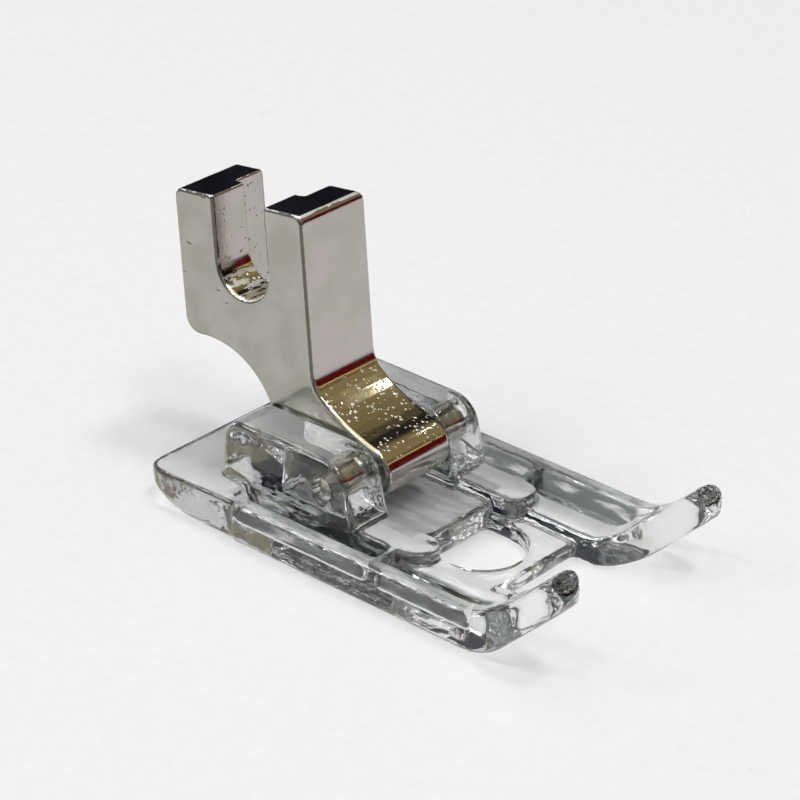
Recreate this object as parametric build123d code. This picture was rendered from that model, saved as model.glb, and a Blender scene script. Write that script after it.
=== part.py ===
from build123d import *
import math
import os

# Sewing machine presser foot, low shank, for zigzag stitching. Millimetres.
# X is the sewer's right, Y points to the back of the machine, Z is up.
# The origin is on the underside of the sole, straight below the hinge pin.

# Sole, one clear moulding: rear plate with its underside raised at the heel
SOLE_WIDTH = 18.5
PLATE_REAR = 12.6
PLATE_TOP = 2.6
HEEL_START = 8.4
HEEL_RISE = 2.0
REAR_CORNER = 1.2

# Outer rails that run into the turned-up toes, the left toe a little longer. The top of a
# toe starts its bend at a share of its slope.
RAIL_TOP = 2.8
RAIL_REAR = 4.9
RAIL_WALL = 1.25
RAIL_PROUD = 0.3
TOE_WIDTH = 3.0
TOE_BEND_START = 13.4
TOE_BEND_RADIUS = 3.9
TOE_ANGLE = 45.0
TOE_THICKNESS = 2.1
TOE_REACH = 19.5
LEFT_TOE_EXTRA = 0.8
TOE_TOP_SHARE = 0.5
TOE_TIP_ROUND = 1.3
SOLE_EDGE = 0.45

# Grooves cored out beside the outer rails so that the walls mould evenly, each crossed by a bridge
GROOVE_WIDTH = 1.5
GROOVE_FLOOR = 1.0
GROOVE_REAR = 5.6
GROOVE_FRONT = 13.6
BRIDGE_PLACE = 5.7
BRIDGE_THICKNESS = 0.5

# Deck between the rails, ramped up to the toes, and the lower tongue with the needle opening.
# Shoulders and toe roots lie at shares of the way from the tongue to the toes' reach.
DECK_TOP = 1.9
DECK_REAR = 6.0
DECK_FLAT = 12.2
DECK_RAMP_RADIUS = 4.0
TONGUE_WIDTH = 8.2
TONGUE_TOP = 1.1
TONGUE_REAR = 5.6
TONGUE_FRONT = 11.75
OPENING_WIDTH = 5.9
OPENING_FRONT = 10.45
SHOULDER_SHARE = 0.226
SHOULDER_ROUND = 1.4
TOE_ROOT_SHARE = 0.574
TOE_ROOT_ROUND = 2.5

# Hinge block: two ears, the stop wall between them and a foot before each ear, level with the bridge
PIN_HEIGHT = 4.55
PIN_DIAMETER = 1.5
PIN_RECESS = 0.6
PIN_CHAMFER = 0.15
EAR_RADIUS = 2.1
EAR_SPREAD = 16.0
BLOCK_WIDTH = 13.25
BLOCK_REAR = 8.15
BLOCK_REAR_ROUND = 1.4
BLOCK_EDGE = 0.35
WALL_FRONT = 4.7
WALL_TOP = 6.15
FOOT_WIDTH = 2.9
FOOT_INSET = 0.4
FOOT_FRONT = 7.8
FOOT_TOP = 2.6

# Shank, one plated steel piece, drawn upright about the pin
SHANK_THICKNESS = 6.0
SHANK_HEIGHT = 16.05
SHANK_FRONT = 3.34
SHANK_DEPTH = 10.68
KNUCKLE_RADIUS = 1.8
KNUCKLE_FORWARD = 0.7
KNUCKLE_SLOPE = 20.0
THROAT_HEIGHT = 4.8
THROAT_RADIUS = 2.0
BACK_HEIGHT = 6.3
BACK_RADIUS = 5.65
BACK_LEDGE = 1.6
BACK_CORNER = 1.1
SHANK_LEAN = 7.4
EDGE_ROUND = 0.2
CROWN_ROUND = 0.6
TIP_ROUND = 0.8

# Slot for the clamp screw and channel for the presser bar
SLOT_WIDTH = 4.25
SLOT_REAR_PRONG = 3.28
SLOT_CENTRE_HEIGHT = 11.65
CHANNEL_WIDTH = 5.8
CHANNEL_DEPTH = 2.95
CHANNEL_FOOT = 7.65
PRONG_ROUND = 0.75

# Clearances
PIN_RUN = 0.04
PIN_PUSH = 0.01
SIDE_CLEARANCE = 0.12
STOP_GAP = 0.05
WALL_CLEARANCE = 0.3

# Sizes that follow from the ones above
HALF_WIDTH = SOLE_WIDTH / 2
TOE_FREE = TOE_REACH - TONGUE_FRONT
SHOULDER_FRONT = TONGUE_FRONT + SHOULDER_SHARE * TOE_FREE
TOE_ROOT = TONGUE_FRONT + TOE_ROOT_SHARE * TOE_FREE
EAR_TOP = PIN_HEIGHT + EAR_RADIUS
EAR_INNER = SHANK_THICKNESS / 2 + SIDE_CLEARANCE
GROOVE_CENTRE = HALF_WIDTH - RAIL_WALL - GROOVE_WIDTH / 2
FOOT_CENTRE = BLOCK_WIDTH / 2 - FOOT_INSET - FOOT_WIDTH / 2
SHANK_REAR = SHANK_FRONT + SHANK_DEPTH
SLOT_CENTRE = SHANK_REAR - SLOT_REAR_PRONG - SLOT_WIDTH / 2
FAR = 40.0
OVERSHOOT = 1.0


def span(centre, width):
    """Limits of a width about a centre."""
    return centre - width / 2, centre + width / 2


def box(x, y, z):
    """Box between the given pairs of limits."""
    size = [high - low for low, high in (x, y, z)]
    middle = [(high + low) / 2 for low, high in (x, y, z)]
    return Pos(*middle) * Box(*size)


def upright(plan, low, high):
    """Prism standing on a plan drawn in XY."""
    return Pos(0, 0, low) * extrude(plan, high - low)


def stadium(x, width, rear, front):
    """Plan of a slot along Y with round ends."""
    radius = width / 2
    middle = Pos(x, (rear + front) / 2) * Rectangle(width, rear - front - width)
    return middle + Pos(x, rear - radius) * Circle(radius) + Pos(x, front + radius) * Circle(radius)


def rounded(face, corners):
    """Face with a fillet at each (point, radius) corner."""
    for point, radius in corners:
        face = fillet(face.vertices().sort_by_distance(point)[0], radius)
    return face


def side_profile(reach):
    """Runner seen from the side: flat underside, raised heel, toe turned up at the front."""
    turn = math.radians(TOE_ANGLE)
    along = Vector(-math.cos(turn), math.sin(turn))
    across = Vector(math.sin(turn), math.cos(turn))
    half = TOE_THICKNESS / 2
    start = Vector(-TOE_BEND_START, 0)
    bend = start + Vector(-math.sin(turn), 1 - math.cos(turn)) * TOE_BEND_RADIUS
    tip_run = (half - reach - across.X * half - bend.X) / along.X
    under = bend + along * tip_run
    nose = under + (across + along) * half
    over = under + across * TOE_THICKNESS
    slope = (over.Y - RAIL_TOP) / along.Y
    meet = over - along * slope
    ease = TOE_TOP_SHARE * slope
    upper = meet + along * ease
    level = meet + Vector(ease, 0)
    heel = Vector(HEEL_START, 0)
    rise = Vector(PLATE_REAR, HEEL_RISE)
    rear = Vector(PLATE_REAR, RAIL_TOP)
    outline = [
        Line(heel, start),
        TangentArc(start, bend, tangent=(-1, 0)),
        Line(bend, under),
        ThreePointArc(under, nose, over),
        Line(over, upper),
        TangentArc(upper, level, tangent=-along),
        Line(level, rear),
        Line(rear, rise),
        TangentArc(heel, rise, tangent=(1, 0)),
    ]
    return Plane.YZ * make_face(outline)


def half_plan(reach):
    """Right half of the plan: rear plate, rail, shoulder beside the tongue and toe."""
    inner = HALF_WIDTH - TOE_WIDTH
    rear_side = HALF_WIDTH - RAIL_PROUD
    side = TONGUE_WIDTH / 2
    points = [
        (0, PLATE_REAR),
        (rear_side, PLATE_REAR),
        (rear_side, RAIL_REAR),
        (HALF_WIDTH, RAIL_REAR),
        (HALF_WIDTH, -reach),
        (inner, -reach),
        (inner, -TOE_ROOT),
        (side, -SHOULDER_FRONT),
        (side, -TONGUE_FRONT),
        (0, -TONGUE_FRONT),
    ]
    face = make_face(Polyline(*points, close=True))
    corners = [
        (points[1], REAR_CORNER),
        (points[4], TOE_TIP_ROUND),
        (points[5], TOE_TIP_ROUND),
        (points[6], TOE_ROOT_ROUND),
        (points[7], SHOULDER_ROUND),
    ]
    return rounded(face, corners)


def deck_profile():
    """Side view of the space over the deck, with the ramp to the toes at its front."""
    rear = (DECK_REAR, DECK_TOP)
    foot = (-DECK_FLAT, DECK_TOP)
    head = (-DECK_FLAT - DECK_RAMP_RADIUS, DECK_TOP + DECK_RAMP_RADIUS)
    outline = [
        Line(rear, foot),
        TangentArc(foot, head, tangent=(-1, 0)),
        Line(head, (DECK_REAR, head[1])),
        Line((DECK_REAR, head[1]), rear),
    ]
    return Plane.YZ * make_face(outline)


def half_sole(reach):
    """Right half of the sole without its hinge block."""
    runner = extrude(side_profile(reach), HALF_WIDTH)
    edges = runner.faces().sort_by(Axis.X)[-1].edges()
    runner = fillet(edges, SOLE_EDGE)
    half = runner & upright(half_plan(reach), 0, FAR)
    rail_inner = HALF_WIDTH - RAIL_WALL
    half -= box((0, FAR), (RAIL_REAR, FAR), (PLATE_TOP, FAR))
    half -= box((0, rail_inner), (DECK_REAR, FAR), (PLATE_TOP, FAR))
    half -= extrude(deck_profile(), rail_inner)
    bridge = span(-BRIDGE_PLACE, BRIDGE_THICKNESS)
    for rear, front in ((GROOVE_REAR, bridge[1]), (bridge[0], -GROOVE_FRONT)):
        half -= upright(stadium(GROOVE_CENTRE, GROOVE_WIDTH, rear, front), GROOVE_FLOOR, FAR)
    half += box((FOOT_CENTRE, HALF_WIDTH - RAIL_WALL / 2), bridge, (GROOVE_FLOOR, FOOT_TOP))
    half -= box((0, TONGUE_WIDTH / 2), (-FAR, -TONGUE_REAR), (TONGUE_TOP, FAR))
    half += upright(stadium(FOOT_CENTRE, FOOT_WIDTH, FOOT_WIDTH, -FOOT_FRONT), GROOVE_FLOOR, FOOT_TOP)
    return half


def ear_profile():
    """Side view of an ear: round nose about the pin, front spread to its foot, level top, rounded rear."""
    spread = math.radians(EAR_SPREAD)
    nose = (-EAR_RADIUS * math.cos(spread), PIN_HEIGHT + EAR_RADIUS * math.sin(spread))
    toe = (nose[0] - (nose[1] - GROOVE_FLOOR) * math.tan(spread), GROOVE_FLOOR)
    outline = [
        Line((0, EAR_TOP), (BLOCK_REAR, EAR_TOP)),
        Line((BLOCK_REAR, EAR_TOP), (BLOCK_REAR, GROOVE_FLOOR)),
        Line((BLOCK_REAR, GROOVE_FLOOR), toe),
        Line(toe, nose),
        RadiusArc(nose, (0, EAR_TOP), EAR_RADIUS),
    ]
    face = make_face(outline)
    return Plane.YZ * rounded(face, [((BLOCK_REAR, EAR_TOP), BLOCK_REAR_ROUND)])


def hinge_block():
    """Ears and stop wall in one block, open to the front for the shank."""
    block = extrude(ear_profile(), BLOCK_WIDTH / 2, both=True)
    sides = block.faces().filter_by(Axis.X)
    block = fillet([e for side in sides for e in side.edges() if e.center().Z > GROOVE_FLOOR], BLOCK_EDGE)
    block -= box((-EAR_INNER, EAR_INNER), (-FAR, WALL_FRONT), (0, FAR))
    block -= box((-EAR_INNER, EAR_INNER), (0, FAR), (WALL_TOP, FAR))
    return block


def make_sole():
    """Clear sole: plate, rails, toes, tongue with the needle opening and hinge block."""
    sole = half_sole(TOE_REACH) + mirror(half_sole(TOE_REACH + LEFT_TOE_EXTRA), Plane.YZ)
    sole += hinge_block()
    sole -= box((-EAR_INNER, EAR_INNER), (-TONGUE_REAR, WALL_FRONT), (DECK_TOP, FAR))
    opening = upright(stadium(0, OPENING_WIDTH, 0, -OPENING_FRONT), -OVERSHOOT, TONGUE_TOP + OVERSHOOT)
    sole -= opening & box((-FAR, FAR), (-FAR, -TONGUE_REAR), (-FAR, FAR))
    bore = Cylinder(PIN_DIAMETER / 2 + PIN_PUSH, BLOCK_WIDTH + 2 * OVERSHOOT)
    sole -= Pos(0, 0, PIN_HEIGHT) * Rot(0, 90, 0) * bore
    return sole


def make_pin():
    """Hinge pin, pushed into both ears and sunk below their outer faces."""
    pin = Cylinder(PIN_DIAMETER / 2, BLOCK_WIDTH - 2 * PIN_RECESS)
    pin = chamfer(pin.edges().filter_by(GeomType.CIRCLE), PIN_CHAMFER)
    return Pos(0, 0, PIN_HEIGHT) * Rot(0, 90, 0) * pin


def shank_profile():
    """Side view of the upright shank, with the pin at the origin and a hollow ramp over the knuckle."""
    slope = math.radians(KNUCKLE_SLOPE)
    nose = Vector(-KNUCKLE_FORWARD, 0)
    touch = nose + Vector(-math.sin(slope), math.cos(slope)) * KNUCKLE_RADIUS
    throat = Vector(SHANK_FRONT, THROAT_HEIGHT)
    arc_top = Vector(SHANK_REAR - BACK_LEDGE, BACK_HEIGHT)
    arc_foot = arc_top - Vector(BACK_RADIUS, BACK_RADIUS)
    neck = arc_foot - nose
    angle = math.atan2(neck.Y, neck.X) - math.acos(KNUCKLE_RADIUS / neck.length)
    under = nose + Vector(math.cos(angle), math.sin(angle)) * KNUCKLE_RADIUS
    corner = Vector(SHANK_REAR, BACK_HEIGHT)
    outline = [
        Line((SHANK_FRONT, SHANK_HEIGHT), throat),
        TangentArc(touch, throat, tangent=(math.cos(slope), math.sin(slope))),
        Line(touch, nose),
        Line(nose, under),
        Line(under, arc_foot),
        RadiusArc(arc_foot, arc_top, BACK_RADIUS),
        Line(arc_top, corner),
        Line(corner, (SHANK_REAR, SHANK_HEIGHT)),
        Line((SHANK_REAR, SHANK_HEIGHT), (SHANK_FRONT, SHANK_HEIGHT)),
    ]
    face = make_face(outline) + Pos(nose.X, nose.Y) * Circle(KNUCKLE_RADIUS)
    return Plane.YZ * rounded(face, [(throat, THROAT_RADIUS), (corner, BACK_CORNER)])


def far_corner():
    """What the rounder top on the side of the presser bar leaves out."""
    x = SHANK_THICKNESS / 2 - TIP_ROUND
    z = SHANK_HEIGHT - TIP_ROUND
    return box((x, FAR), (0, FAR), (z, FAR)) - Pos(x, 0, z) * Rot(90, 0, 0) * Cylinder(TIP_ROUND, 2 * FAR)


def prong_corner():
    """What the rounded inner edge of the rear prong leaves out, beside the presser bar."""
    x = SHANK_THICKNESS / 2 - PRONG_ROUND
    wall = SLOT_CENTRE + CHANNEL_WIDTH / 2
    y = wall + PRONG_ROUND
    corner = box((x, FAR), (wall - OVERSHOOT, y), (CHANNEL_FOOT, FAR))
    return corner - Pos(x, y) * Cylinder(PRONG_ROUND, 2 * FAR)


def make_shank():
    """Plated shank: forked top, channel for the presser bar, neck and knuckle."""
    half = SHANK_THICKNESS / 2
    shank = extrude(shank_profile(), half, both=True)
    shank = fillet(shank.edges().filter_by(Axis.X).group_by(Axis.Z)[-1], CROWN_ROUND)
    shank -= box((-FAR, FAR), span(SLOT_CENTRE, SLOT_WIDTH), (SLOT_CENTRE_HEIGHT, FAR))
    shank -= Pos(0, SLOT_CENTRE, SLOT_CENTRE_HEIGHT) * Rot(0, 90, 0) * Cylinder(SLOT_WIDTH / 2, FAR)
    rims = [edge for side in shank.faces().filter_by(Axis.X) for edge in side.edges()]
    shank = fillet(rims, EDGE_ROUND)
    shank -= far_corner()
    shank -= box((half - CHANNEL_DEPTH, FAR), span(SLOT_CENTRE, CHANNEL_WIDTH), (CHANNEL_FOOT, FAR))
    shank -= prong_corner()
    shank -= Rot(0, 90, 0) * Cylinder(PIN_DIAMETER / 2 + PIN_RUN, SHANK_THICKNESS + 2 * OVERSHOOT)

    # It leans back until its heel lies on the stop wall of the sole.
    shank = Pos(0, 0, PIN_HEIGHT) * Rot(-SHANK_LEAN, 0, 0) * shank
    shank -= box((-FAR, FAR), (WALL_FRONT - WALL_CLEARANCE, FAR), (-FAR, WALL_TOP + STOP_GAP))
    return shank


os.makedirs("parts", exist_ok=True)
for node, solid in (("sole", make_sole()), ("pivot_pin", make_pin()), ("shank", make_shank())):
    export_step(solid, f"parts/{node}.step")
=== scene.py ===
import bpy
import math
from mathutils import Matrix, Vector


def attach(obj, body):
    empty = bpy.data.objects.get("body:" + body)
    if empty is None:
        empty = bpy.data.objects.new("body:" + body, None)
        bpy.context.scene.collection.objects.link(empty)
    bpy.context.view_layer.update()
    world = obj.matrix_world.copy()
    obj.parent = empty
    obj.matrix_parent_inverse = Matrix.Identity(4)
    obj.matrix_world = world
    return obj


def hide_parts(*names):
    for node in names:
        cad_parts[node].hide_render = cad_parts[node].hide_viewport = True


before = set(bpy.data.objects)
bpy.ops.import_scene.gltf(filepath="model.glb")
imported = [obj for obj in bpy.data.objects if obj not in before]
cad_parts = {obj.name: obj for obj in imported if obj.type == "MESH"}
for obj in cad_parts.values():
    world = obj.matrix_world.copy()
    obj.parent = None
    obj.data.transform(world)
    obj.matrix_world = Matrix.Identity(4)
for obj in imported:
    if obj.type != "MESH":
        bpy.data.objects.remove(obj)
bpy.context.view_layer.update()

MM = 0.001

# Camera, worked out from the photograph, in the part's own frame
AZIMUTH = math.radians(-51.135)
ELEVATION = math.radians(27.756)
ROLL = math.radians(2.614)
EYE = Vector((-0.13938, -0.112966, 0.102767))
LENS = 146.889
SENSOR = 36.0
CLIP_NEAR = 0.01
CLIP_FAR = 10.0

# Floor, a disc a hair below the sole
FLOOR_RADIUS = 0.6
FLOOR_SIDES = 96
FLOOR_DROP = 0.02 * MM

# Softened copies of the solids
WELD_GAP = 0.001 * MM
SMOOTH_FACTOR = 0.5
FLAT_ANGLE = math.radians(0.6)
FLAT_WEIGHT = 100
SOLE_VOXEL = 0.14 * MM
SOLE_PASSES = 20
SHANK_VOXEL = 0.1 * MM
SHANK_PASSES = 8

# A range says where a mark starts and where it is full. Two more numbers, where it has them, say how
# much shows at those two ends, and otherwise that is nothing and all.

# Ranges on the sole where shade is painted: across from the middle, along and up
RAIL_INNER = (6.0 * MM, 6.3 * MM)
RAIL_OUTER = (9.1 * MM, 8.9 * MM)
RAIL_FRONT = (-13.9 * MM, -13.3 * MM)
RAIL_REAR = (5.9 * MM, 5.4 * MM)
GROOVE_INNER = (6.2 * MM, 6.4 * MM)
GROOVE_OUTER = (8.3 * MM, 8.1 * MM)
GROOVE_FLOOR = (0.8 * MM, 0.95 * MM)
GROOVE_TOP = (2.7 * MM, 2.4 * MM)
DECK_SIDE = (4.6 * MM, 4.3 * MM, 0.0, 0.75)
DECK_FRONT = (-5.8 * MM, -5.5 * MM)
DECK_REAR = (1.0 * MM, 0.5 * MM)

# Ranges on the shank: up, and along for the pits
BELOW_THROAT = (9.2 * MM, 8.6 * MM)
SLOT_LOW = (9.4 * MM, 10.0 * MM)
SLOT_HIGH = (15.2 * MM, 14.2 * MM)
BELOW_CROWN = (17.4 * MM, 16.9 * MM)
CROWN_LOW = (17.0 * MM, 17.5 * MM)
PIT_LOW = (9.0 * MM, 13.0 * MM)
PIT_ALONG = (8.5 * MM, 12.0 * MM, 0.12, 1.0)

# Ranges of the plate's facing, where 1 is straight sideways or straight up
SIDE_FACING = (0.6, 0.9)
YELLOW_UP = (0.36, 0.52)
YELLOW_SIDE = (0.8, 0.5)
RIM_SIDE_LOW = (0.2, 0.45)
RIM_SIDE_HIGH = (0.97, 0.9)
RIM_UP = (0.45, 0.25)
BLISTER_UP = (0.52, 0.64)
CROWN_UP_LOW = (0.66, 0.78)
CROWN_UP_HIGH = (0.97, 0.9)
PIT_UP = (0.5, 0.3)

# Noises: cells a metre, levels of detail and, where given, how strong the fine levels are
STREAK_NOISE = (1100.0, 3.0)
WAVE_NOISE = (520.0, 2.5)
SCUFF_NOISE = (900.0, 4.0)
PATCH_NOISE = (420.0, 6.0)
SWARM_NOISE = (420.0, 1.0)
SILVER_NOISE = (2400.0, 2.0)
GRAIN_NOISE = (3500.0, 3.0)
PIN_NOISE = (1.0, 2.0)
PAPER_NOISE = (900.0, 6.0, 0.7)
RAGGED_DETAIL = 2.0

# Stretch of the noises and marks along each axis, and the turn of the scratches in radians
STREAK_STRETCH = (1.0, 0.25, 1.0)
SILVER_STRETCH = (0.3, 1.0, 1.0)
SCRATCH_STRETCH = (1.0, 0.22, 1.0)
SCRATCH_TURN = (0.7, 0.0, 0.3)
PIN_STRETCH = (9000.0, 300.0, 300.0)

# Ranges of the noises and marks themselves
STREAK_GREY = (0.7, 0.4, 0.35, 1.0)
STREAK_DARK = (0.66, 0.5)
SCUFF_ROUGH = (0.45, 0.8, 0.0, 0.06)
PATCH_SHOWN = (0.3, 0.7)
SWARM_SHOWN = (0.34, 0.52)
SILVER_SHOWN = (0.44, 0.56, 0.0, 0.5)
BLISTER_SHOWN = (0.12, 0.35)
PIT_SHOWN = (0.12, 0.4)
PIN_ROUGH = (0.3, 0.7, 0.12, 0.2)
SPECK_SHOWN = (0.1, 0.5, 0.0, 0.25)

# Scattered marks: cells a metre, largest radius in cells and share of the cells filled
SMALL_BLISTERS = (3300.0, 0.5, 0.75)
LARGE_BLISTERS = (1700.0, 0.34, 0.5)
SCRATCHES = (3400.0, 0.3, 0.4)
PITS = (2600.0, 0.3, 0.2)
SPECKS = (260.0, 0.07, 0.3)
SMALLEST_MARK = 0.3

# Uneven outlines of marks: cells a metre and the largest push
MARK_EDGES = (2500.0, 0.16 * MM)
SCRATCH_EDGES = (900.0, 0.5 * MM)

# Clear plastic
CLEAR = (0.95, 0.955, 0.95, 1.0)
# Painted shade: grey on the rails and deck, darkest in the grooves
PAINTED_SHADE_GREY = (0.2, 0.215, 0.21, 1.0)
PAINTED_SHADE_DARK = (0.05, 0.062, 0.056, 1.0)
DEPTH_TINT = (0.74, 0.755, 0.75, 1.0)
DEPTH_DENSITY = 75.0
PLASTIC_IOR = 1.56
SHADOW_PASSED = 0.6
WAVE_STRENGTH = 0.8
WAVE_HEIGHT = 0.1 * MM

# Plated steel, each tone from its darker to its lighter patches
# Painted light: a shaded tone for the sides and a lit tone for faces to the front
SHADED_SIDE_TONE = ((0.37, 0.365, 0.31, 1.0), (0.45, 0.43, 0.39, 1.0))
LIT_FRONT_TONE = ((0.44, 0.41, 0.38, 1.0), (0.5, 0.46, 0.44, 1.0))
# Painted reflection: gold tint on plate faces turned up below the crown
PAINTED_GOLD_REFLECTION = (0.62, 0.53, 0.33, 1.0)
DARK_RIM = (0.06, 0.055, 0.05, 1.0)
DARK_RIM_SHARE = 0.8
BLISTER_WHITE = (0.97, 0.96, 0.93, 1.0)
PIT_DARK = (0.07, 0.06, 0.05, 1.0)
PIT_SHARE = 0.75
GRAIN_RELIEF = 0.06
MARK_STRENGTH = 0.6
MARK_HEIGHT = 0.05 * MM
PLATE_ROUGH = 0.11
PATCH_ROUGH = 0.07
YELLOW_ROUGH = -0.06
BLISTER_ROUGH = 0.28

# Pin and paper
PIN_TONE = ((0.55, 0.53, 0.47, 1.0), (0.64, 0.62, 0.56, 1.0))
PAPER_TONE = ((0.79, 0.79, 0.795, 1.0), (0.89, 0.89, 0.89, 1.0))
PAPER_SPECK = (0.5, 0.48, 0.46, 1.0)
PAPER_ROUGH = 0.85
PAPER_SHINE = 0.2

# Surroundings: plain on the left, and on the right by the share of the half turn from front to back
LEFT_GREY = (0.26, 0.265, 0.28, 1.0)
RIGHT_SIDE = (0.15, 0.5)
RIGHT_STOPS = (
    (0.0, (0.12, 0.006, 0.009)),
    (0.145, (0.11, 0.006, 0.009)),
    (0.16, (0.66, 0.58, 0.38)),
    (0.178, (0.58, 0.50, 0.32)),
    (0.19, (0.12, 0.10, 0.06)),
    (0.26, (0.31, 0.275, 0.19)),
    (0.54, (0.24, 0.215, 0.15)),
    (0.6, (0.03, 0.03, 0.035)),
    (0.66, (0.008, 0.009, 0.018)),
    (1.0, (0.012, 0.012, 0.016)),
)

# Lamps: name, direction from the part, distance in metres, size in metres and power in watts
LAMPS = (
    ("light_front", (-0.2, -0.42, 0.89), 1.0, 0.18, 1.1),
    ("light_right", (0.14, -0.26, 0.955), 1.0, 0.16, 1.7),
    ("light_back", (-0.47, 0.56, 0.69), 1.0, 0.15, 0.95),
    ("light_edge", (-0.42, 0.0, 0.9), 1.0, 0.12, 0.65),
    ("light_spark", (0.655, -0.094, 0.749), 0.0629, 0.0012, 0.00026),
    ("light_fill", (-0.7, 0.3, 0.65), 1.0, 0.6, 1.6),
    ("light_top", (0.0, 0.2, 1.0), 1.2, 1.4, 7.3),
)


def make_node(tree, kind, inputs=None, **settings):
    """Adds a node, with its settings, and its inputs given as values or as sockets to link."""
    node = tree.nodes.new(kind)
    for name, value in settings.items():
        setattr(node, name, value)
    for name, value in (inputs or {}).items():
        if isinstance(value, bpy.types.NodeSocket):
            tree.links.new(value, node.inputs[name])
        else:
            node.inputs[name].default_value = value
    return node


def new_material(name):
    """Empty node material with its output; returns the material, its tree and the output."""
    material = bpy.data.materials.new(name)
    material.use_nodes = True
    tree = material.node_tree
    tree.nodes.clear()
    output = tree.nodes.new("ShaderNodeOutputMaterial")
    return material, tree, output


def math_node(tree, operation, first, second=0.0, third=0.0):
    """Math node; returns its value socket."""
    inputs = {0: first, 1: second, 2: third}
    return make_node(tree, "ShaderNodeMath", inputs, operation=operation).outputs[0]


def product(tree, first, *others):
    """Product of values."""
    for value in others:
        first = math_node(tree, "MULTIPLY", first, value)
    return first


def larger(tree, first, second):
    """Larger of two values."""
    return math_node(tree, "MAXIMUM", first, second)


def band(tree, value, *ranges):
    """Smooth step of a value over a range, or the product of its steps over several."""
    steps = []
    for start, full, *shown in ranges:
        low, high = shown or (0.0, 1.0)
        inputs = {"Value": value, "From Min": start, "From Max": full, "To Min": low, "To Max": high}
        node = make_node(tree, "ShaderNodeMapRange", inputs, interpolation_type="SMOOTHSTEP")
        steps.append(node.outputs["Result"])
    return product(tree, *steps)


def mix_colour(tree, share, first, second):
    """Colour between two, by a share. The node's colour sockets come after those of its other types."""
    inputs = {0: share, 6: first, 7: second}
    return make_node(tree, "ShaderNodeMix", inputs, data_type="RGBA").outputs[2]


def noise(tree, place, scale, detail, roughness=0.5):
    """Cloudy noise about one half; returns its value socket."""
    inputs = {"Vector": place, "Scale": scale, "Detail": detail, "Roughness": roughness}
    return make_node(tree, "ShaderNodeTexNoise", inputs).outputs["Fac"]


def stretched(tree, place, scale, turn=(0.0, 0.0, 0.0)):
    """Place scaled along each axis and turned, so that marks come out long."""
    inputs = {"Vector": place, "Rotation": turn, "Scale": scale}
    return make_node(tree, "ShaderNodeMapping", inputs).outputs["Vector"]


def ragged(tree, place, scale, amount):
    """Place pushed about by noise, so that marks get uneven outlines."""
    inputs = {"Vector": place, "Scale": scale, "Detail": RAGGED_DETAIL}
    cloud = make_node(tree, "ShaderNodeTexNoise", inputs)
    inputs = {0: cloud.outputs["Color"], "Scale": amount}
    push = make_node(tree, "ShaderNodeVectorMath", inputs, operation="SCALE").outputs["Vector"]
    return make_node(tree, "ShaderNodeVectorMath", {0: place, 1: push}).outputs["Vector"]


def spots(tree, place, scale, radius, share):
    """Scattered round marks, 1 at their middles: cells of the given scale, a share of them filled."""
    cells = make_node(tree, "ShaderNodeTexVoronoi", {"Vector": place, "Scale": scale, "Randomness": 1.0})
    lot = make_node(tree, "ShaderNodeSeparateColor", {"Color": cells.outputs["Color"]})
    filled = math_node(tree, "LESS_THAN", lot.outputs["Red"], share)
    least = SMALLEST_MARK * radius
    reach = math_node(tree, "MULTIPLY_ADD", lot.outputs["Green"], radius - least, least)
    near = math_node(tree, "SUBTRACT", 1.0, math_node(tree, "DIVIDE", cells.outputs["Distance"], reach))
    return product(tree, larger(tree, near, 0.0), filled)


def raised(tree, height, strength, distance):
    """Normal of a surface raised by a height."""
    inputs = {"Height": height, "Strength": strength, "Distance": distance}
    return make_node(tree, "ShaderNodeBump", inputs).outputs["Normal"]


def set_surface(tree, output, inputs):
    """Principled shader with the given inputs as the surface of a material."""
    shader = make_node(tree, "ShaderNodeBsdfPrincipled", inputs)
    tree.links.new(shader.outputs["BSDF"], output.inputs["Surface"])


def sole_places(tree, place):
    """Masks of the sole where shade is painted: its rails and deck together, and the grooves in the rails.
    """
    split = make_node(tree, "ShaderNodeSeparateXYZ", {"Vector": place})
    across = math_node(tree, "ABSOLUTE", split.outputs["X"])
    along = split.outputs["Y"]
    height = split.outputs["Z"]
    length = band(tree, along, RAIL_FRONT, RAIL_REAR)
    rail = product(tree, band(tree, across, RAIL_INNER, RAIL_OUTER), length)
    deck = product(tree, band(tree, across, DECK_SIDE), band(tree, along, DECK_FRONT, DECK_REAR))
    top = product(tree, larger(tree, rail, deck), band(tree, height, GROOVE_FLOOR))
    groove = product(tree, band(tree, across, GROOVE_INNER, GROOVE_OUTER), length)
    groove = product(tree, groove, band(tree, height, GROOVE_FLOOR, GROOVE_TOP))
    return top, groove


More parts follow.
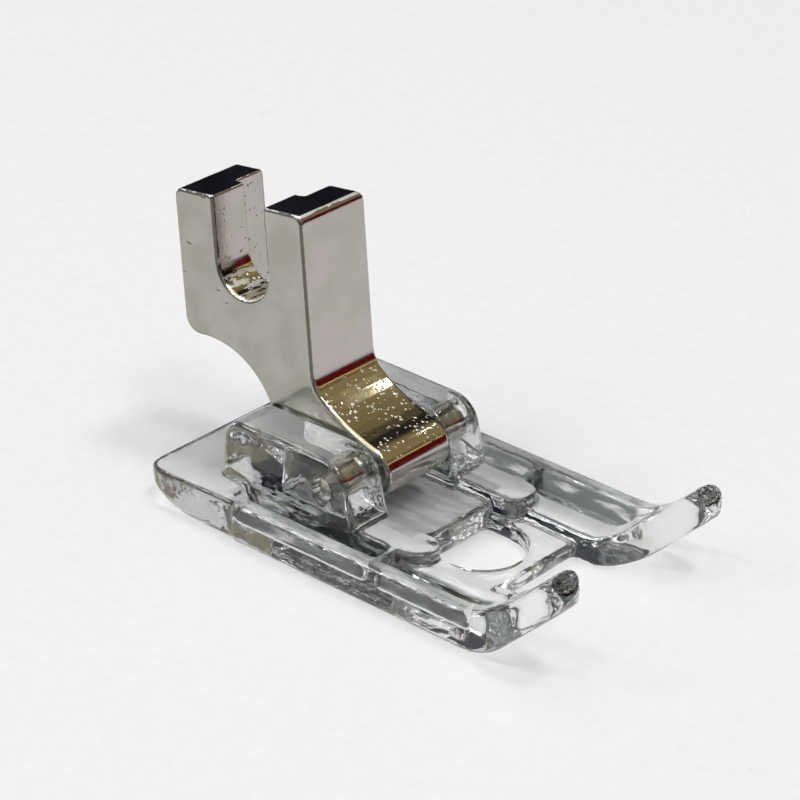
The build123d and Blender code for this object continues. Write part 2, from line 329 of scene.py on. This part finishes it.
def clear_plastic():
    """Colourless clear moulding: polished, with flow waves, and painted grey shade along the rails, grooves
    and deck.
    """
    material, tree, output = new_material("clear_plastic_look")
    place = make_node(tree, "ShaderNodeTexCoord").outputs["Object"]
    top, groove = sole_places(tree, place)

    # Painted shade in grey streaks drawn out along the foot, darkest in the grooves
    streak = noise(tree, stretched(tree, place, STREAK_STRETCH), *STREAK_NOISE)
    painted_grey = product(tree, top, band(tree, streak, STREAK_GREY))
    shade = product(tree, groove, band(tree, streak, STREAK_DARK))
    colour = mix_colour(tree, painted_grey, CLEAR, PAINTED_SHADE_GREY)
    colour = mix_colour(tree, shade, colour, PAINTED_SHADE_DARK)

    waves = noise(tree, place, *WAVE_NOISE)
    relief = math_node(tree, "MULTIPLY_ADD", streak, groove, waves)
    scuff = noise(tree, place, *SCUFF_NOISE)
    # Light passes through to the floor below, so the clear sole throws only a faint shadow
    shadow = make_node(tree, "ShaderNodeLightPath").outputs["Is Shadow Ray"]
    set_surface(tree, output, {
        "Base Color": colour,
        "Roughness": band(tree, scuff, SCUFF_ROUGH),
        "IOR": PLASTIC_IOR,
        "Transmission Weight": 1.0,
        "Alpha": math_node(tree, "MULTIPLY_ADD", shadow, -SHADOW_PASSED, 1.0),
        "Normal": raised(tree, relief, WAVE_STRENGTH, WAVE_HEIGHT),
    })
    # Long ways through the plastic turn grey
    grey = make_node(tree, "ShaderNodeVolumeAbsorption", {"Color": DEPTH_TINT, "Density": DEPTH_DENSITY})
    tree.links.new(grey.outputs["Volume"], output.inputs["Volume"])
    return material


def plate_blisters(tree, place, uneven, height, upwards):
    """Plating blisters: in swarms low on the shank, close together in the slot and on the crowns."""
    swarm = band(tree, noise(tree, place, *SWARM_NOISE), SWARM_SHOWN)
    low = product(tree, band(tree, height, BELOW_THROAT), swarm)
    slot = band(tree, height, SLOT_HIGH, SLOT_LOW)
    crown = product(tree, band(tree, height, CROWN_LOW), band(tree, upwards, CROWN_UP_HIGH, CROWN_UP_LOW))
    close = larger(tree, slot, crown)
    small = spots(tree, uneven, *SMALL_BLISTERS)
    large = spots(tree, uneven, *LARGE_BLISTERS)
    blister = product(tree, larger(tree, small, large), larger(tree, low, close))
    streak = noise(tree, stretched(tree, place, SILVER_STRETCH), *SILVER_NOISE)
    silver = product(tree, band(tree, streak, SILVER_SHOWN), close)
    return product(tree, larger(tree, blister, silver), band(tree, upwards, BLISTER_UP))


def plate_pits(tree, place, uneven, along, height, upwards):
    """Dark pits and short scratches, most of them on the rear prong."""
    slanted = stretched(tree, ragged(tree, place, *SCRATCH_EDGES), SCRATCH_STRETCH, SCRATCH_TURN)
    pit = larger(tree, spots(tree, slanted, *SCRATCHES), spots(tree, uneven, *PITS))
    pit = product(tree, pit, band(tree, along, PIT_ALONG), band(tree, height, PIT_LOW))
    return product(tree, pit, band(tree, upwards, PIT_UP))


def plated_steel():
    """Bright nickel plate: satin flats with dark marks, a painted shaded tone on the sides and a lighter
    lit tone on faces to the front, a painted gold reflection on faces turned up, and blistered in the
    hollows.
    """
    material, tree, output = new_material("plated_steel_look")
    coordinates = make_node(tree, "ShaderNodeTexCoord")
    place = coordinates.outputs["Object"]
    split = make_node(tree, "ShaderNodeSeparateXYZ", {"Vector": place})
    along = split.outputs["Y"]
    height = split.outputs["Z"]
    facing = make_node(tree, "ShaderNodeSeparateXYZ", {"Vector": coordinates.outputs["Normal"]})
    sideways = math_node(tree, "ABSOLUTE", facing.outputs["X"])
    upwards = facing.outputs["Z"]

    # Painted light: flat sides a shaded olive grey, faces to the front painted a little lighter and warmer
    patch = band(tree, noise(tree, place, *PATCH_NOISE), PATCH_SHOWN)
    shaded_side = mix_colour(tree, patch, *SHADED_SIDE_TONE)
    lit_front = mix_colour(tree, patch, *LIT_FRONT_TONE)
    colour = mix_colour(tree, band(tree, sideways, SIDE_FACING), lit_front, shaded_side)

    # Painted gold reflection on the faces turned up: the ramp, the knuckle and the bottom of the slot
    gold_reflection = product(tree, band(tree, upwards, YELLOW_UP), band(tree, sideways, YELLOW_SIDE))
    gold_reflection = product(tree, gold_reflection, band(tree, height, BELOW_CROWN))
    colour = mix_colour(tree, gold_reflection, colour, PAINTED_GOLD_REFLECTION)

    # Upright edges darkened
    rim = product(tree, band(tree, sideways, RIM_SIDE_LOW, RIM_SIDE_HIGH), band(tree, upwards, RIM_UP))
    colour = mix_colour(tree, product(tree, rim, DARK_RIM_SHARE), colour, DARK_RIM)

    # White blisters, then dark pits
    uneven = ragged(tree, place, *MARK_EDGES)
    blister = plate_blisters(tree, place, uneven, height, upwards)
    white = band(tree, blister, BLISTER_SHOWN)
    colour = mix_colour(tree, white, colour, BLISTER_WHITE)
    pit = plate_pits(tree, place, uneven, along, height, upwards)
    dark = product(tree, band(tree, pit, PIT_SHOWN), PIT_SHARE)
    colour = mix_colour(tree, dark, colour, PIT_DARK)

    marks = math_node(tree, "SUBTRACT", blister, pit)
    relief = math_node(tree, "MULTIPLY_ADD", noise(tree, place, *GRAIN_NOISE), GRAIN_RELIEF, marks)
    rough = math_node(tree, "MULTIPLY_ADD", patch, PATCH_ROUGH, PLATE_ROUGH)
    rough = math_node(tree, "MULTIPLY_ADD", gold_reflection, YELLOW_ROUGH, rough)
    rough = math_node(tree, "MULTIPLY_ADD", white, BLISTER_ROUGH, rough)
    set_surface(tree, output, {
        "Base Color": colour,
        "Metallic": 1.0,
        "Roughness": rough,
        "Normal": raised(tree, relief, MARK_STRENGTH, MARK_HEIGHT),
    })
    return material


def pin_steel():
    """Ground steel wire with fine lines round the pin."""
    material, tree, output = new_material("pin_steel_look")
    place = make_node(tree, "ShaderNodeTexCoord").outputs["Object"]
    lines = noise(tree, stretched(tree, place, PIN_STRETCH), *PIN_NOISE)
    set_surface(tree, output, {
        "Base Color": mix_colour(tree, lines, *PIN_TONE),
        "Metallic": 1.0,
        "Roughness": band(tree, lines, PIN_ROUGH),
    })
    return material


def paper():
    """Plain pale paper with a fine grain and a few tiny specks."""
    material, tree, output = new_material("paper_look")
    place = make_node(tree, "ShaderNodeTexCoord").outputs["Object"]
    colour = mix_colour(tree, noise(tree, place, *PAPER_NOISE), *PAPER_TONE)
    speck = band(tree, spots(tree, place, *SPECKS), SPECK_SHOWN)
    set_surface(tree, output, {
        "Base Color": mix_colour(tree, speck, colour, PAPER_SPECK),
        "Roughness": PAPER_ROUGH,
        "Specular IOR Level": PAPER_SHINE,
    })
    return material


def dress(node, material):
    """Gives a node of the frame its material."""
    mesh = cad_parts[node].data
    for index in range(len(mesh.materials)):
        mesh.materials[index] = material


def add_softened(node, name, body, voxel, passes):
    """Copy of a node with slightly rounded edges, shown in its place."""
    piece = bpy.data.objects.new(name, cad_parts[node].data.copy())
    bpy.context.scene.collection.objects.link(piece)
    weld = piece.modifiers.new("weld", "WELD")
    weld.merge_threshold = WELD_GAP
    remesh = piece.modifiers.new("remesh", "REMESH")
    remesh.mode = "VOXEL"
    remesh.voxel_size = voxel
    remesh.use_smooth_shade = True
    smooth = piece.modifiers.new("smooth", "SMOOTH")
    smooth.factor = SMOOTH_FACTOR
    smooth.iterations = passes
    flats = piece.modifiers.new("flats", "DECIMATE")
    flats.decimate_type = "DISSOLVE"
    flats.angle_limit = FLAT_ANGLE
    shading = piece.modifiers.new("shading", "WEIGHTED_NORMAL")
    shading.weight = FLAT_WEIGHT
    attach(piece, body)
    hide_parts(node)


def add_floor(material):
    """Round paper floor a hair below the sole."""
    turns = [2 * math.pi * i / FLOOR_SIDES for i in range(FLOOR_SIDES)]
    points = [(FLOOR_RADIUS * math.cos(turn), FLOOR_RADIUS * math.sin(turn), -FLOOR_DROP) for turn in turns]
    mesh = bpy.data.meshes.new("floor")
    mesh.from_pydata(points, [], [list(range(FLOOR_SIDES))])
    mesh.materials.append(material)
    floor = bpy.data.objects.new("floor", mesh)
    bpy.context.scene.collection.objects.link(floor)


def add_camera():
    """Camera at the photograph's place and angle."""
    data = bpy.data.cameras.new("camera")
    data.sensor_fit = "HORIZONTAL"
    data.sensor_width = SENSOR
    data.lens = LENS
    data.clip_start = CLIP_NEAR
    data.clip_end = CLIP_FAR
    camera = bpy.data.objects.new("camera", data)
    level = math.cos(ELEVATION)
    back = Vector((math.sin(AZIMUTH) * level, -math.cos(AZIMUTH) * level, math.sin(ELEVATION)))
    side = Vector((math.cos(AZIMUTH), math.sin(AZIMUTH), 0.0))
    top = back.cross(side)
    right = side * math.cos(ROLL) + top * math.sin(ROLL)
    up = top * math.cos(ROLL) - side * math.sin(ROLL)
    matrix = Matrix((right, up, back)).transposed().to_4x4()
    matrix.translation = EYE
    camera.matrix_world = matrix
    bpy.context.scene.collection.objects.link(camera)
    bpy.context.scene.camera = camera


def add_lamp(name, direction, distance, size, power):
    """Square soft lamp in a direction from the part, turned to it."""
    data = bpy.data.lights.new(name, "AREA")
    data.shape = "SQUARE"
    data.size = size
    data.energy = power
    lamp = bpy.data.objects.new(name, data)
    towards = Vector(direction).normalized()
    lamp.location = towards * distance
    lamp.rotation_euler = towards.to_track_quat("Z", "Y").to_euler()
    bpy.context.scene.collection.objects.link(lamp)


def add_world():
    """Studio surroundings by direction. On the right, from the front over the top to the back, they run
    from dark red at the horizon through a gold strip and olive to near black; on the left they are grey."""
    world = bpy.data.worlds.new("studio")
    bpy.context.scene.world = world
    world.use_nodes = True
    tree = world.node_tree
    tree.nodes.clear()
    output = tree.nodes.new("ShaderNodeOutputWorld")
    place = make_node(tree, "ShaderNodeTexCoord").outputs["Generated"]
    split = make_node(tree, "ShaderNodeSeparateXYZ", {"Vector": place})
    forward = math_node(tree, "MULTIPLY", split.outputs["Y"], -1.0)
    over = math_node(tree, "ARCTAN2", split.outputs["Z"], forward)
    ramp = make_node(tree, "ShaderNodeValToRGB", {"Fac": math_node(tree, "DIVIDE", over, math.pi)})
    elements = ramp.color_ramp.elements
    while len(elements) < len(RIGHT_STOPS):
        elements.new(0.5)
    for element, (position, colour) in zip(elements, RIGHT_STOPS):
        element.position = position
        element.color = (*colour, 1.0)
    right = band(tree, split.outputs["X"], RIGHT_SIDE)
    colour = mix_colour(tree, right, LEFT_GREY, ramp.outputs["Color"])
    shader = make_node(tree, "ShaderNodeBackground", {"Color": colour, "Strength": 1.0})
    tree.links.new(shader.outputs["Background"], output.inputs["Surface"])


dress("sole", clear_plastic())
dress("shank", plated_steel())
dress("pivot_pin", pin_steel())
add_softened("sole", "sole_moulding", "sole_body", SOLE_VOXEL, SOLE_PASSES)
add_softened("shank", "shank_plating", "shank_body", SHANK_VOXEL, SHANK_PASSES)
add_floor(paper())
add_camera()
add_world()
for lamp in LAMPS:
    add_lamp(*lamp)

# Light takes many turns inside the clear plastic
cycles = bpy.context.scene.cycles
cycles.max_bounces = 16
cycles.transmission_bounces = 14
cycles.glossy_bounces = 8

bpy.context.scene.view_settings.view_transform = "Standard"
